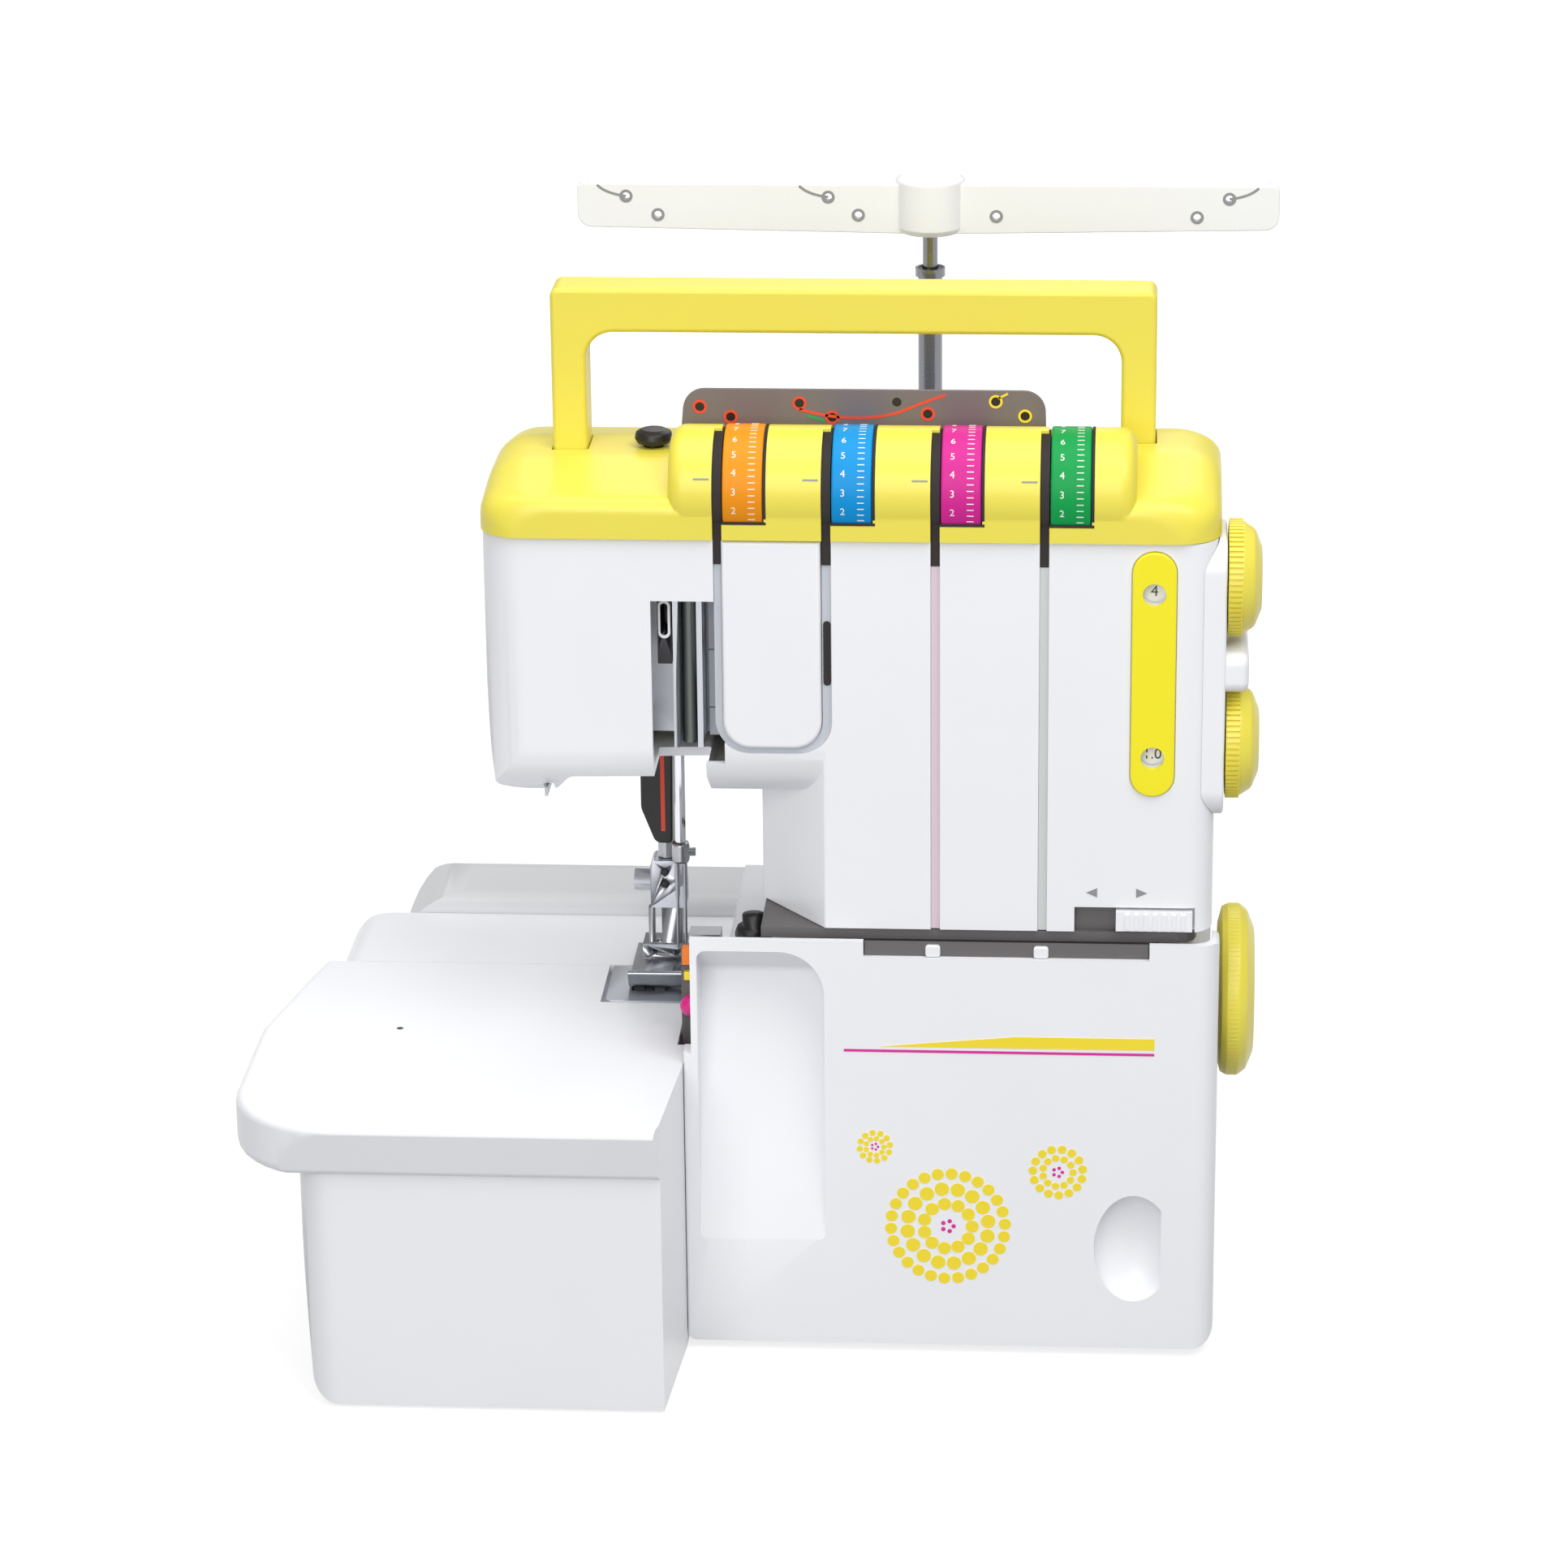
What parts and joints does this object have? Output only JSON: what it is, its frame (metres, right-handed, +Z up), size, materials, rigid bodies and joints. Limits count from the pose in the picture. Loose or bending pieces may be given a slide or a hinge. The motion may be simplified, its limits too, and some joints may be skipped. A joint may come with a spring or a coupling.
{
  "type": "serger overlock machine",
  "caption": "Home serger overlock sewing machine: white casing, coloured top cover and carrying handle, colour-coded tension dials, sewing table, looper cover and spool stand with antenna.",
  "frame": {"origin": "centre of the object's box on the surface it stands on", "axes": "+X to the handwheel side, +Y to the spool stand at the back, +Z up; the front faces -Y"},
  "size_m": [0.3367, 0.289, 0.3546],
  "materials": {
    "white_casing": "satin moulded ABS",
    "grey_white": "fine matt moulded ABS",
    "yellow": "satin coloured ABS",
    "dark_grey": "fine matt",
    "black": "fine matt",
    "steel": "ground",
    "chrome": "polished",
    "cast_aluminium": "as cast",
    "rubber": "matt",
    "orange": "satin",
    "blue": "satin",
    "magenta": "satin",
    "green": "satin"
  },
  "bodies": {
    "body": {"base_plate": "grey_white", "motor_cover": "grey_white", "spool_tray": "grey_white", "rubber_foot_1": "rubber", "rubber_foot_2": "rubber", "rubber_foot_3": "rubber", "rubber_foot_4": "rubber", "drive_belt": "rubber", "lower_casing": "white_casing", "free_arm_bed": "white_casing", "front_casing": "white_casing", "rear_casing": "white_casing", "thread_cover": "white_casing", "dial_housing": "white_casing", "thread_deck": "dark_grey", "thread_guide_plate": "dark_grey", "looper_thread_guides": "dark_grey", "window_strip": "yellow", "top_cover": "yellow", "needle_bar_guard": "chrome", "needle_thread_guide": "black", "power_inlet": "black", "thread_cutter": "steel", "tension_shaft": "steel", "lower_knife": "steel", "needle_plate": "steel", "antenna_base_tube": "steel", "motor": "cast_aluminium", "machine_frame": "cast_aluminium"},
    "carrying_handle": {"carrying_handle": "yellow"},
    "tension_dial_1": {"tension_dial_1": "orange"},
    "tension_dial_2": {"tension_dial_2": "blue"},
    "tension_dial_3": {"tension_dial_3": "magenta"},
    "tension_dial_4": {"tension_dial_4": "green"},
    "pressure_regulator": {"pressure_regulator_knob": "black"},
    "stitch_length_dial": {"stitch_length_dial": "yellow"},
    "differential_feed_dial": {"differential_feed_dial": "yellow"},
    "rolled_hem_slider": {"rolled_hem_slider": "white_casing"},
    "handwheel": {"handwheel": "yellow", "main_shaft": "steel"},
    "motor_pulley": {"motor_pulley": "black"},
    "power_switch": {"power_switch": "black"},
    "looper_cover_rod": {"looper_cover_hinge_rod": "steel"},
    "looper_cover": {"looper_cover": "white_casing"},
    "side_cover": {"side_cover": "white_casing"},
    "presser_lifter": {"presser_lifter": "black"},
    "presser_bar": {"presser_bar": "steel", "foot_holder": "steel", "presser_foot": "steel"},
    "needle_bar": {"needle_bar": "chrome", "needle_clamp": "steel"},
    "upper_knife": {"upper_knife": "steel"},
    "feed_dog_main": {"feed_dog_main": "steel"},
    "feed_dog_differential": {"feed_dog_differential": "steel"},
    "lower_looper": {"lower_looper": "chrome"},
    "upper_looper": {"upper_looper": "chrome"},
    "cutting_width_knob": {"cutting_width_knob": "black"},
    "antenna_middle": {"antenna_middle_tube": "chrome"},
    "antenna_rod": {"antenna_rod": "chrome"},
    "thread_guide_bar": {"thread_guide_bar": "white_casing"}
  },
  "joints": [
    {"name": "handle_lift", "type": "slide", "parent": "body", "child": "carrying_handle", "axis": [0, 0, 1], "range_m": [-0.024, 0]},
    {"name": "tension_turn_1", "type": "hinge", "parent": "body", "child": "tension_dial_1", "pos_m": [-0.0031, -0.066, 0.2933], "axis": [1, 0, 0], "range_deg": [-150, 150]},
    {"name": "tension_turn_2", "type": "hinge", "parent": "body", "child": "tension_dial_2", "pos_m": [0.0314, -0.066, 0.2933], "axis": [1, 0, 0], "range_deg": [-150, 150]},
    {"name": "tension_turn_3", "type": "hinge", "parent": "body", "child": "tension_dial_3", "pos_m": [0.0659, -0.066, 0.2933], "axis": [1, 0, 0], "range_deg": [-150, 150]},
    {"name": "tension_turn_4", "type": "hinge", "parent": "body", "child": "tension_dial_4", "pos_m": [0.1004, -0.066, 0.2933], "axis": [1, 0, 0], "range_deg": [-150, 150]},
    {"name": "pressure_turn", "type": "hinge", "parent": "body", "child": "pressure_regulator", "pos_m": [-0.035, -0.039, 0.3], "axis": [0, 0, 1], "range_deg": [-170, 170]},
    {"name": "stitch_length_turn", "type": "hinge", "parent": "body", "child": "stitch_length_dial", "pos_m": [0.15, -0.064, 0.2635], "axis": [1, 0, 0], "range_deg": [-120, 120]},
    {"name": "differential_feed_turn", "type": "hinge", "parent": "body", "child": "differential_feed_dial", "pos_m": [0.15, -0.064, 0.209], "axis": [1, 0, 0], "range_deg": [-70, 90]},
    {"name": "hem_slide", "type": "slide", "parent": "body", "child": "rolled_hem_slider", "axis": [1, 0, 0], "range_m": [-0.0125, 0]},
    {"name": "handwheel_turn", "type": "hinge", "parent": "body", "child": "handwheel", "pos_m": [0.15, -0.04, 0.113], "axis": [1, 0, 0], "continuous": true},
    {"name": "motor_turn", "type": "hinge", "parent": "body", "child": "motor_pulley", "pos_m": [0.068, 0.072, 0.058], "axis": [1, 0, 0], "continuous": true},
    {"name": "switch_rock", "type": "hinge", "parent": "body", "child": "power_switch", "pos_m": [0.143, 0.029, 0.056], "axis": [0, 0, 1], "range_deg": [-8, 8]},
    {"name": "looper_cover_slide", "type": "slide", "parent": "body", "child": "looper_cover_rod", "axis": [1, 0, 0], "range_m": [0, 0.004]},
    {"name": "looper_cover_tilt", "type": "hinge", "parent": "looper_cover_rod", "child": "looper_cover", "pos_m": [0.06, -0.078, 0.014], "axis": [1, 0, 0], "range_deg": [0, 68]},
    {"name": "side_cover_slide", "type": "slide", "parent": "body", "child": "side_cover", "axis": [-1, 0, 0], "range_m": [0, 0.11]},
    {"name": "lifter_swing", "type": "hinge", "parent": "body", "child": "presser_lifter", "pos_m": [-0.041, -0.0045, 0.19], "axis": [0, 1, 0], "range_deg": [0, 75]},
    {"name": "presser_lift", "type": "slide", "parent": "body", "child": "presser_bar", "axis": [0, 0, 1], "range_m": [0, 0.006]},
    {"name": "needle_stroke", "type": "slide", "parent": "body", "child": "needle_bar", "axis": [0, 0, 1], "range_m": [-0.024, 0]},
    {"name": "upper_knife_stroke", "type": "slide", "parent": "body", "child": "upper_knife", "axis": [0, 0, 1], "range_m": [-0.006, 0]},
    {"name": "feed_main", "type": "slide", "parent": "body", "child": "feed_dog_main", "axis": [0, 1, 0], "range_m": [-0.0015, 0.0015]},
    {"name": "feed_differential", "type": "slide", "parent": "body", "child": "feed_dog_differential", "axis": [0, 1, 0], "range_m": [-0.0015, 0.0015]},
    {"name": "lower_looper_swing", "type": "hinge", "parent": "body", "child": "lower_looper", "pos_m": [-0.046, -0.0156, 0.044], "axis": [0, 1, 0], "range_deg": [0, 8]},
    {"name": "upper_looper_swing", "type": "hinge", "parent": "body", "child": "upper_looper", "pos_m": [-0.022, -0.0089, 0.044], "axis": [0, 1, 0], "range_deg": [-8, 0]},
    {"name": "cutting_width_turn", "type": "hinge", "parent": "body", "child": "cutting_width_knob", "pos_m": [-0.0029, -0.0608, 0.13], "axis": [0, 0, 1], "range_deg": [-90, 90]},
    {"name": "antenna_lower_stage", "type": "slide", "parent": "body", "child": "antenna_middle", "axis": [0, 0, 1], "range_m": [-0.118, 0]},
    {"name": "antenna_upper_stage", "type": "slide", "parent": "antenna_middle", "child": "antenna_rod", "axis": [0, 0, 1], "range_m": [-0.012, 0]},
    {"name": "guide_bar_turn", "type": "hinge", "parent": "antenna_rod", "child": "thread_guide_bar", "pos_m": [0.0485, 0.108, 0.345], "axis": [0, 0, 1], "range_deg": [-24, 24]}
  ],
  "couplings": [
    {"joint": "motor_turn", "follows": "handwheel_turn", "ratio": 3},
    {"joint": "lifter_swing", "follows": "presser_lift", "rad_per_m": 218}
  ]
}
